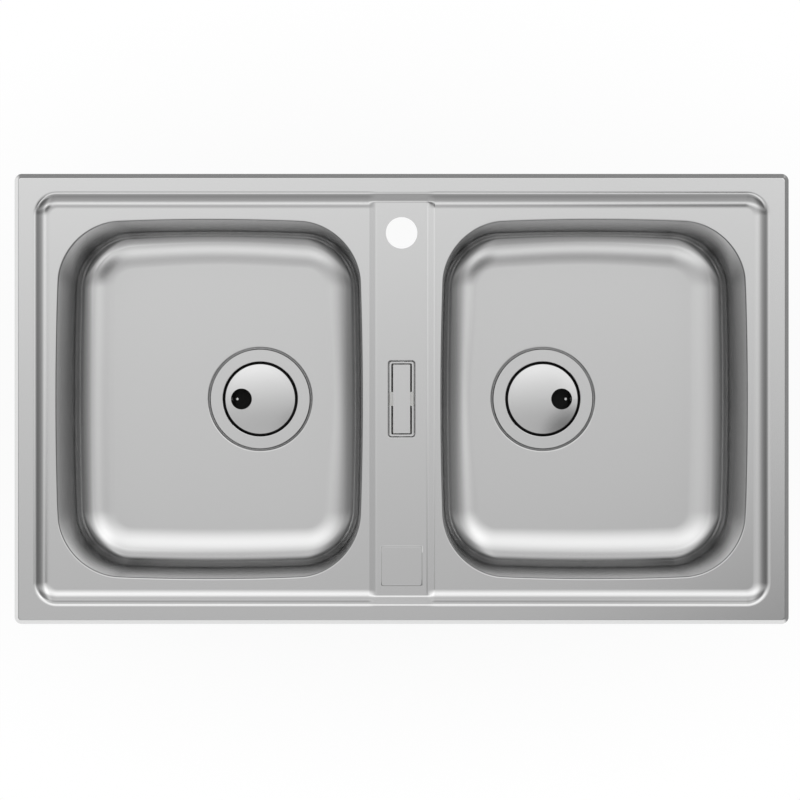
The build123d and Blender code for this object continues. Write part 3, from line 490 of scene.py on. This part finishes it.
def wall_point(angle, leg):
    """A point of the left bowl's wall on the ray at this angle. The fillets end on the
    dished floor, whose rise is blended in between the wall's end and the foot."""
    grown, height = wall_profile(angle, leg)
    x, y = along_ray(mouth_distance, angle, grown)
    x = x + BOWL_X
    y = y + BOWL_Y
    share = np.clip((leg - 2) / 3, 0, 1)
    share = share**2 * (3 - 2 * share)
    dish = np.hypot(x - DRAIN_X, y) ** 2 / (2 * DISH_RADIUS)
    return np.stack([x, y, height + share * (dish - DISH_RISE)], -1)


def wall_grid(angle, legs):
    """Points and normals of the wall, which look into the bowl, across differences both ways."""
    angle = angle[None, :]
    step = 1e-4
    down = wall_point(angle, legs + NEAR) - wall_point(angle, legs - NEAR)
    round_it = wall_point(angle + step, legs) - wall_point(angle - step, legs)
    normals = unit(np.cross(round_it, down))
    return wall_point(angle, legs), normals


def floor_grid(skin, foot):
    """Loops from the foot of the wall in to a circle round the drain, then circles down the
    seat's side and in to the drain hole, at the height of the floor."""
    angle = np.arctan2(foot[:, 1], foot[:, 0] - DRAIN_X)
    circle = np.stack([DRAIN_X + SEAT_FIELD * np.cos(angle), SEAT_FIELD * np.sin(angle)], -1)
    share = ladder(0, (1, 0.08))[:, None, None]
    plan = (1 - share) * foot[None, :, :2] + share * circle[None]
    radii = ladder(
        SEAT_FIELD, (62.6 * MM, 0.9 * MM), (57.4 * MM, 0.26 * MM), (DRAIN_HOLE, 3 * MM)
    )[1:, None]
    seat = np.stack([DRAIN_X + radii * np.cos(angle), radii * np.sin(angle)], -1)
    plan = np.concatenate([plan, seat])
    points, normals = surface_of(floor_height, plan[..., 0], plan[..., 1])
    skin.sheet(points, normals, closed=True)
    inward = np.stack([-np.cos(angle), -np.sin(angle), 0 * angle], -1)
    skin.cut_edge(points[-1], normals[-1], inward)


def pressed_top():
    """The rim, the panel, the decks and the rolled mouths down to the welds."""
    skin = Skin()
    rim, rim_normals, outward = left_rim()
    skin.sheet(rim, rim_normals, both_sides=True)
    skin.cut_edge(rim[0], rim_normals[0], outward, closed=False, both_sides=True)

    x, y = panel_samples()
    grid_y, grid_x = np.meshgrid(y, x, indexing="ij")
    points, normals = surface_of(panel_height, grid_x, grid_y)
    cell_x = (grid_x[:-1, :-1] + grid_x[1:, 1:]) / 2
    cell_y = (grid_y[:-1, :-1] + grid_y[1:, 1:]) / 2
    tap_field = np.maximum(np.abs(cell_x), np.abs(cell_y - TAP_Y)) < WINDOW
    overflow_field = (np.abs(cell_x) < WINDOW) & (np.abs(cell_y) < WINDOW_LENGTH)
    skin.sheet(points, normals, keep=~(tap_field | overflow_field))
    for row, way in ((0, -1), (-1, 1)):
        front = np.zeros_like(points[row]) + np.array([0, way, 0])
        skin.cut_edge(points[row], normals[row], front, closed=False)

    hole = hole_field(skin, x, y, TAP_Y, WINDOW, [(np.hypot, TAP_RADIUS)])
    skin.cut_edge(*hole)
    recess_lines = ladder(RECESS_DEPTH + 0.6 * MM, (-0.6 * MM, 0.2 * MM))
    outlines = [(recess_distance, grow) for grow in recess_lines] + [(slot_distance, 0)]
    hole = hole_field(skin, x, y, 0, WINDOW_LENGTH, outlines)
    skin.cut_edge(*hole)

    border, angle = mouth_rays(rim[-1], y)
    weld = weld_leg(angle)[None, :]
    collar = 1 + (weld - 1) * ladder(0, (1, 0.25))[1:, None]
    legs = np.concatenate([ladder(0, (1, 0.1))[:, None] + 0 * weld, collar])
    roll, roll_normals = wall_grid(angle, legs)
    roll_normals[0] = (0, 0, 1)
    roll[0, :, 2] = 0
    edge = np.concatenate([border, np.zeros((len(border), 1))], 1)
    flat = np.stack([edge, roll[0]])
    skin.sheet(flat, np.zeros_like(flat) + np.array([0, 0, 1]), closed=True, both_sides=True)
    skin.sheet(roll, roll_normals, closed=True, both_sides=True)
    down = np.zeros_like(roll[-1]) + np.array([0, 0, -1])
    skin.cut_edge(roll[-1], roll_normals[-1], down, both_sides=True)
    return skin.build("pressed_top"), angle


def bowl_skin(angle):
    """The left bowl from the weld down: wall, fillets, floor and drain seat."""
    skin = Skin()
    weld = weld_leg(angle)[None, :]
    straight = weld + (2 - weld) * ladder(0, (1, 0.1))[:, None]
    curved = ladder(2, (3, 0.07), (4, 0.1), (5, 0.07))[1:, None] + 0 * weld
    wall, normals = wall_grid(angle, np.concatenate([straight, curved]))
    skin.sheet(wall, normals, closed=True)
    up = np.zeros_like(wall[0]) + np.array([0, 0, 1])
    skin.cut_edge(wall[0], normals[0], up)
    floor_grid(skin, wall[-1])
    return skin


def floor_pad(node):
    """The sound pad under a bowl's floor: a plate of the CAD pad's plan and thickness that
    follows the under face of the floor of the left bowl, or its mirror image."""
    low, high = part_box(node)
    mirror = math.copysign(1, DRAIN_X * (low.x + high.x))
    lines_x = np.linspace(low.x, high.x, 9)
    lines_y = np.linspace(low.y, high.y, 19)
    x, y = np.meshgrid(lines_x, lines_y, indexing="ij")
    points, normals = surface_of(floor_height, mirror * x, y)
    points = (points - SHEET * normals) * (mirror, 1, 1)
    normals = normals * (mirror, 1, 1)
    under = points - PAD_SHEET * normals
    pad = Skin()
    pad.face(points, normals)
    pad.face(under, -normals)
    for edge, lower, way in (
        (points[0], under[0], (-1, 0, 0)), (points[-1], under[-1], (1, 0, 0)),
        (points[:, 0], under[:, 0], (0, -1, 0)), (points[:, -1], under[:, -1], (0, 1, 0)),
    ):
        side = np.stack([edge, lower])
        pad.face(side, np.zeros_like(side) + way)
    return pad.build(node.replace("sound_pad", "floor_pad"))


# --- Finishes --------------------------------------------------------------------------------
DRAWN_FROM_Z = -0.03                            # height where drawn sheet starts to get duller
DRAWN_TO_Z = -0.13                              # height where it is at its dullest


def material(name):
    """An empty node material and its surface shader."""
    made = bpy.data.materials.new(name)
    made.use_nodes = True
    nodes = made.node_tree.nodes
    return made, nodes, made.node_tree.links, nodes["Principled BSDF"]


def grain(nodes, links, scale, stretch, detail):
    """Fine noise on object coordinates, stretched along one axis for a rolled sheet."""
    place = nodes.new("ShaderNodeTexCoord")
    turn = nodes.new("ShaderNodeMapping")
    turn.inputs["Scale"].default_value = stretch
    noise = nodes.new("ShaderNodeTexNoise")
    noise.inputs["Scale"].default_value = scale
    noise.inputs["Detail"].default_value = detail
    links.new(place.outputs["Object"], turn.inputs["Vector"])
    links.new(turn.outputs["Vector"], noise.inputs["Vector"])
    return noise.outputs["Fac"]


def spread(nodes, links, value, low, high):
    """Turns noise round 0.5 into a value between low and high."""
    span = nodes.new("ShaderNodeMapRange")
    span.inputs["From Min"].default_value = 0.3
    span.inputs["From Max"].default_value = 0.7
    span.inputs["To Min"].default_value = low
    span.inputs["To Max"].default_value = high
    links.new(value, span.inputs["Value"])
    return span.outputs["Result"]


def bump(nodes, links, shader, value, strength, distance):
    """Raises and sinks the surface a little by the value."""
    relief = nodes.new("ShaderNodeBump")
    relief.inputs["Strength"].default_value = strength
    relief.inputs["Distance"].default_value = distance
    links.new(value, relief.inputs["Height"])
    links.new(relief.outputs["Normal"], shader.inputs["Normal"])


def steel(name, shade, gloss, stretch=(1, 1, 1), relief=0.05, drawn=0):
    """Stainless or plated steel: a fine grain that changes the gloss a little. Deep-drawn
    sheet gets duller by drawn towards a bowl's floor."""
    made, nodes, links, shader = material(name)
    shader.inputs["Base Color"].default_value = (*shade, 1)
    shader.inputs["Metallic"].default_value = 1
    fine = grain(nodes, links, 900, stretch, 3)
    dullness = spread(nodes, links, fine, gloss - 0.03, gloss + 0.03)
    if drawn:
        place = nodes.new("ShaderNodeTexCoord")
        split = nodes.new("ShaderNodeSeparateXYZ")
        links.new(place.outputs["Object"], split.inputs[0])
        depth = nodes.new("ShaderNodeMapRange")
        span = (DRAWN_FROM_Z, DRAWN_TO_Z, 0, drawn)
        for end, value in zip(("From Min", "From Max", "To Min", "To Max"), span):
            depth.inputs[end].default_value = value
        links.new(split.outputs["Z"], depth.inputs["Value"])
        total = nodes.new("ShaderNodeMath")
        links.new(dullness, total.inputs[0])
        links.new(depth.outputs["Result"], total.inputs[1])
        dullness = total.outputs[0]
    links.new(dullness, shader.inputs["Roughness"])
    bump(nodes, links, shader, fine, relief, 0.00002)
    return made


def dull(name, dark, light, gloss, scale, relief):
    """Rubber, foam, bitumen or plastic: two near shades mottled by noise, with its grain."""
    made, nodes, links, shader = material(name)
    mottle = grain(nodes, links, scale, (1, 1, 1), 4)
    ramp = nodes.new("ShaderNodeValToRGB")
    ramp.color_ramp.elements[0].position = 0.35
    ramp.color_ramp.elements[0].color = (*dark, 1)
    ramp.color_ramp.elements[1].position = 0.65
    ramp.color_ramp.elements[1].color = (*light, 1)
    links.new(mottle, ramp.inputs["Fac"])
    links.new(ramp.outputs["Color"], shader.inputs["Base Color"])
    shader.inputs["Roughness"].default_value = gloss
    bump(nodes, links, shader, mottle, relief, 0.0002)
    return made


FINISHES = {
    "brushed_stainless": steel("brushed_stainless", (0.68, 0.68, 0.68), 0.14, drawn=0.06),
    "satin_stainless": steel("satin_stainless", (0.68, 0.68, 0.68), 0.18),
    "polished_stainless": steel("polished_stainless", (0.7, 0.7, 0.7), 0.12),
    "zinc_plated_steel": steel("zinc_plated_steel", (0.6, 0.61, 0.63), 0.35),
    # Painted shade: the drain basket seen through the covers' finger holes is made near black, a
    # colour that stands in for the shade deep inside the drain, not its own coating.
    "black_coated_steel": dull(
        "black_coated_steel", (0.006, 0.006, 0.006), (0.012, 0.012, 0.012), 0.75, 300, 0.05
    ),
    "black_rubber": dull("black_rubber", (0.012, 0.012, 0.012), (0.03, 0.03, 0.03), 0.6, 400, 0.2),
    "grey_foam": dull("grey_foam", (0.08, 0.08, 0.08), (0.16, 0.16, 0.16), 0.9, 1500, 0.6),
    "bitumen_pad": dull("bitumen_pad", (0.03, 0.03, 0.033), (0.07, 0.07, 0.075), 0.8, 500, 0.7),
    "white_plastic": dull("white_plastic", (0.78, 0.78, 0.76), (0.82, 0.82, 0.8), 0.4, 60, 0.05),
}


def dress_solids():
    """Gives every node of the frame the finish of its slot in the record."""
    for part in frame["record"]["subparts"]:
        piece = frame["nodes"][part["node"]]
        finish = FINISHES[part["material_slot"]]
        if not piece.material_slots:
            piece.data.materials.append(finish)
        for place in piece.material_slots:
            place.material = finish


# --- Studio ------------------------------------------------------------------------------------
FLOOR_REACH = 1.0
FLOOR_WHITE = 0.93                              # share of white that the camera sees by the sink
CAMERA_DISTANCE = 2.6                           # over the rim
CAMERA_X = -0.0018
CAMERA_Y = -0.0012
SEEN_WIDTH = 0.887                              # width of the picture at the rim


def studio_floor():
    """A floor that shows the sink's shadow: just off white to the camera near the sink,
    and plain white away from it."""
    low = cad_bounds[0][2] - 0.2 * MM
    mesh = bpy.data.meshes.new("studio_floor")
    corners = [
        (-FLOOR_REACH, -FLOOR_REACH, low), (FLOOR_REACH, -FLOOR_REACH, low),
        (FLOOR_REACH, FLOOR_REACH, low), (-FLOOR_REACH, FLOOR_REACH, low),
    ]
    mesh.from_pydata(corners, [], [(0, 1, 2, 3)])
    floor = bpy.data.objects.new("studio_floor", mesh)
    bpy.context.scene.collection.objects.link(floor)
    made, nodes, links, shader = material("studio_floor")
    shader.inputs["Base Color"].default_value = (0.9, 0.9, 0.9, 1)
    shader.inputs["Roughness"].default_value = 0.9
    glow = nodes.new("ShaderNodeEmission")
    glow.inputs["Strength"].default_value = 1
    place = nodes.new("ShaderNodeTexCoord")
    squash = nodes.new("ShaderNodeMapping")
    squash.inputs["Scale"].default_value = (1 / HALF_LENGTH, 1 / HALF_WIDTH, 0)
    far = nodes.new("ShaderNodeVectorMath")
    far.operation = "LENGTH"
    white = nodes.new("ShaderNodeMapRange")
    limits = (1.0, 2.0, FLOOR_WHITE, 1.0)
    for name, value in zip(("From Min", "From Max", "To Min", "To Max"), limits):
        white.inputs[name].default_value = value
    path = nodes.new("ShaderNodeLightPath")
    seen = nodes.new("ShaderNodeMath")
    seen.operation = "MAXIMUM"
    share = nodes.new("ShaderNodeMath")
    share.operation = "MULTIPLY"
    links.new(place.outputs["Object"], squash.inputs["Vector"])
    links.new(squash.outputs["Vector"], far.inputs[0])
    links.new(far.outputs["Value"], white.inputs["Value"])
    links.new(white.outputs["Result"], share.inputs[1])
    blend = nodes.new("ShaderNodeMixShader")
    links.new(path.outputs["Is Camera Ray"], seen.inputs[0])
    links.new(path.outputs["Is Glossy Ray"], seen.inputs[1])
    links.new(seen.outputs[0], share.inputs[0])
    links.new(share.outputs[0], blend.inputs[0])
    links.new(shader.outputs[0], blend.inputs[1])
    links.new(glow.outputs[0], blend.inputs[2])
    links.new(blend.outputs[0], nodes["Material Output"].inputs[0])
    mesh.materials.append(made)


# Brightness of the studio's ceiling, as seen in the steel: a place on a ceiling one unit
# up, and its light there. The levels were fitted to the tones of the reflections.
CEILING_BACK_TO_FRONT = (
    (-3.0, 0.33), (-1.7, 0.34), (-0.81, 0.47), (-0.65, 0.63), (-0.51, 1.06), (-0.40, 1.14),
    (-0.29, 0.78), (-0.19, 0.56), (-0.09, 0.61), (0.0, 0.75), (0.09, 0.92), (0.19, 1.16),
    (0.36, 1.38), (0.58, 1.18), (0.72, 0.78), (0.93, 0.65), (1.28, 0.75), (1.6, 0.6),
    (2.05, 0.45), (3.0, 0.33),
)
CEILING_SIDE_TO_SIDE = (
    (-3.0, 0.25), (-1.8, 0.28), (-1.2, 0.34), (-0.85, 0.47), (-0.65, 0.66), (-0.45, 0.93),
    (-0.25, 1.06), (0.0, 1.0), (0.15, 0.96), (0.36, 1.24), (0.48, 1.12), (0.58, 0.85),
    (0.72, 0.56), (1.0, 0.38), (1.6, 0.27), (3.0, 0.25),
)
CEILING_BRIGHTEST = 1.4
CEILING_REACH = 3.0
DARK_SPOT = (0.28, -0.25)                       # a dark lamp housing on the ceiling


def studio_world():
    """The room's light: a ceiling picture that is a product of one course of light along
    the sink and one across it, white to the camera, and a pale ground below."""
    world = bpy.data.worlds.new("studio")
    bpy.context.scene.world = world
    world.use_nodes = True
    nodes = world.node_tree.nodes
    links = world.node_tree.links
    place = nodes.new("ShaderNodeTexCoord")
    split = nodes.new("ShaderNodeSeparateXYZ")
    links.new(place.outputs["Generated"], split.inputs[0])

    def math_node(operation, first, second):
        made = nodes.new("ShaderNodeMath")
        made.operation = operation
        for socket, value in zip(made.inputs, (first, second)):
            if isinstance(value, (int, float)):
                socket.default_value = value
            else:
                links.new(value, socket)
        return made.outputs[0]

    lifted = math_node("MAXIMUM", split.outputs["Z"], 0.02)
    across = math_node("DIVIDE", split.outputs["X"], lifted)
    along = math_node("DIVIDE", split.outputs["Y"], lifted)

    def course(place, stops):
        scaled = math_node("MULTIPLY_ADD", place, 0.5 / CEILING_REACH)
        scaled.node.inputs[2].default_value = 0.5
        ramp = nodes.new("ShaderNodeValToRGB")
        elements = ramp.color_ramp.elements
        while len(elements) < len(stops):
            elements.new(0.5)
        for element, (at, light) in zip(elements, stops):
            element.position = 0.5 + 0.5 * at / CEILING_REACH
            element.color = (*(light / CEILING_BRIGHTEST,) * 3, 1)
        links.new(scaled, ramp.inputs[0])
        return math_node("MULTIPLY", ramp.outputs[0], CEILING_BRIGHTEST)

    ceiling = math_node(
        "MULTIPLY", course(along, CEILING_BACK_TO_FRONT), course(across, CEILING_SIDE_TO_SIDE)
    )
    offsets = [math_node("SUBTRACT", place, at) for place, at in zip((across, along), DARK_SPOT)]
    squares = [math_node("MULTIPLY", offset, offset) for offset in offsets]
    spot = nodes.new("ShaderNodeMapRange")
    spot.interpolation_type = "SMOOTHSTEP"
    for name, value in (("From Min", 0.0), ("From Max", 0.07), ("To Min", 0.25), ("To Max", 1.0)):
        spot.inputs[name].default_value = value
    links.new(math_node("ADD", *squares), spot.inputs["Value"])
    ceiling = math_node("MULTIPLY", ceiling, spot.outputs["Result"])
    corner = math_node("ADD", split.outputs["X"], split.outputs["Y"])
    shade = nodes.new("ShaderNodeMapRange")
    shade.interpolation_type = "SMOOTHSTEP"
    for name, value in (("From Min", -0.4), ("From Max", 0.4), ("To Min", 1.1), ("To Max", 0.33)):
        shade.inputs[name].default_value = value
    links.new(corner, shade.inputs["Value"])
    below = math_node("LESS_THAN", split.outputs["Z"], 0.0)
    mixed = nodes.new("ShaderNodeMix")
    links.new(below, mixed.inputs["Factor"])
    links.new(ceiling, mixed.inputs["A"])
    links.new(shade.outputs[0], mixed.inputs["B"])
    path = nodes.new("ShaderNodeLightPath")
    shown = nodes.new("ShaderNodeMix")
    links.new(path.outputs["Is Camera Ray"], shown.inputs["Factor"])
    links.new(mixed.outputs[0], shown.inputs["A"])
    shown.inputs["B"].default_value = 1
    links.new(shown.outputs[0], nodes["Background"].inputs["Color"])


def studio_camera():
    """The camera looks straight down on the middle of the sink, 2.6 m over the rim."""
    data = bpy.data.cameras.new("camera")
    camera = bpy.data.objects.new("camera", data)
    bpy.context.scene.collection.objects.link(camera)
    camera.location = (CAMERA_X, CAMERA_Y, RIM_TOP + CAMERA_DISTANCE)
    data.angle = 2 * math.atan(SEEN_WIDTH / 2 / CAMERA_DISTANCE)
    data.clip_start = 0.01
    bpy.context.scene.camera = camera


# --- The sink ------------------------------------------------------------------------------------
dress_solids()
top, mouth_angles = pressed_top()
left_skin = bowl_skin(mouth_angles)
new_pieces = (
    ("deck", top, "brushed_stainless"),
    ("left_bowl", left_skin.build("left_pan"), "brushed_stainless"),
    ("right_bowl", left_skin.build("right_pan", mirrored=True), "brushed_stainless"),
    ("left_sound_pad", floor_pad("left_sound_pad"), "bitumen_pad"),
    ("right_sound_pad", floor_pad("right_sound_pad"), "bitumen_pad"),
)
for node, piece, slot in new_pieces:
    piece.data.materials.append(FINISHES[slot])
    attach(piece, "root")
    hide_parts(node)

studio_floor()
studio_world()
studio_camera()
bpy.context.scene.view_settings.view_transform = "Standard"
